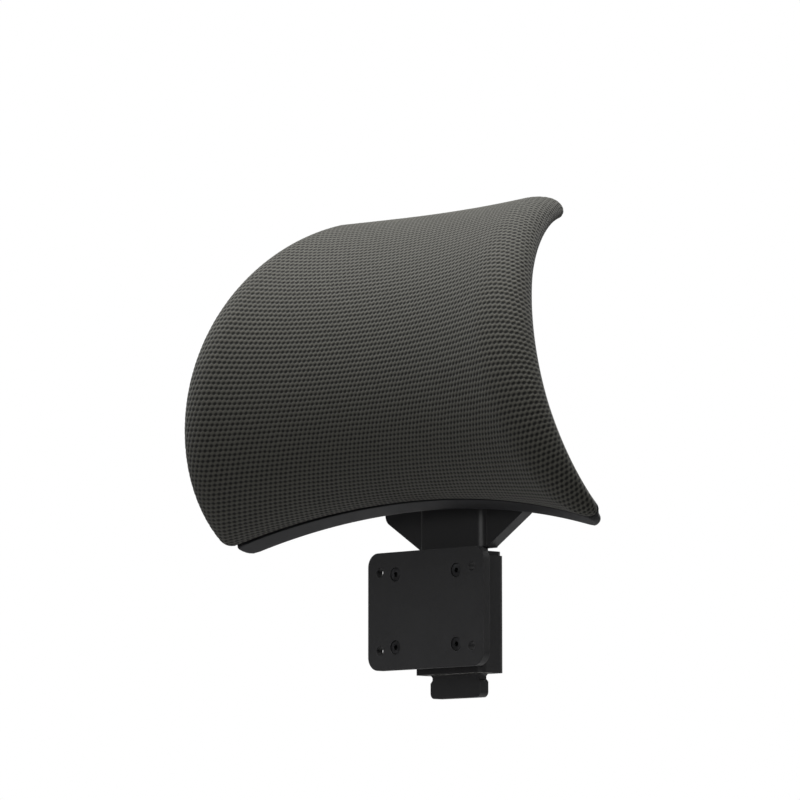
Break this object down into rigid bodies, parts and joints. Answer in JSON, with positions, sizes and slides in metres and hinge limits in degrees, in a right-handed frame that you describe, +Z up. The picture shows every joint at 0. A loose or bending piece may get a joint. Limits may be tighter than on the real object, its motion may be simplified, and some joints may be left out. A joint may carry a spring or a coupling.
{
  "type": "chair headrest attachment",
  "caption": "Height- and tilt-adjustable headrest for a mesh-back chair: a saddle-shaped padded panel in grey knit on a black shell, stem and bolt-on guide.",
  "frame": {"origin": "centre of the four chair bolts on the front face of the mount bracket", "axes": "+X to the sitter's side, -Y towards the sitter and out of the mount face, +Z up"},
  "size_m": [0.381, 0.1441, 0.3472],
  "materials": {
    "cover_fabric": "warm dark grey spacer knit",
    "foam": "open-cell polyurethane foam",
    "pan_plastic": "moulded",
    "shell_plastic": "satin black",
    "yoke_black": "satin black powder coat",
    "bar_black": "black e-coat",
    "bracket_black": "black powder coat",
    "guide_plastic": "fine texture",
    "bezel_plastic": "satin",
    "pivot_black": "black powder coat",
    "cap_plastic": "satin",
    "acetal": "natural acetal",
    "spring_steel": "spring strip",
    "zinc_steel": "zinc plated",
    "black_steel": "black oxide",
    "friction_fibre": "friction fibre",
    "brass": "knurled brass",
    "staple_steel": "galvanised wire"
  },
  "bodies": {
    "mount": {"mount_bracket": "bracket_black", "guide_spacer": "guide_plastic", "guide_body": "guide_plastic", "guide_screws": "black_steel", "guide_bezel": "bezel_plastic", "glide_liner_upper": "acetal", "glide_liner_lower": "acetal", "detent_spring_left": "spring_steel", "detent_spring_right": "spring_steel", "travel_stop_screw": "black_steel"},
    "stem": {"stem_bar": "bar_black", "yoke": "yoke_black", "yoke_screws": "black_steel", "hinge_pin": "zinc_steel", "spring_washers": "spring_steel", "lock_nut": "zinc_steel", "hinge_cap_left": "cap_plastic", "hinge_cap_right": "cap_plastic"},
    "pad": {"pivot_bracket": "pivot_black", "ear_bushing_left": "acetal", "ear_bushing_right": "acetal", "friction_washer_left": "friction_fibre", "friction_washer_right": "friction_fibre", "bracket_screws": "black_steel", "carrier_pan": "pan_plastic", "pan_inserts": "brass", "foam_cushion": "foam", "fabric_cover": "cover_fabric", "cover_staples": "staple_steel", "rear_shell": "shell_plastic", "shell_screws": "black_steel"}
  },
  "joints": [
    {"name": "height_slide", "type": "slide", "parent": "mount", "child": "stem", "axis": [0, 0, 1], "range_m": [0, 0.06], "deforming": ["detent_spring_left", "detent_spring_right"]},
    {"name": "tilt_hinge", "type": "hinge", "parent": "stem", "child": "pad", "pos_m": [0, 0.034, 0.115], "axis": [1, 0, 0], "range_deg": [-30, 8]}
  ]
}
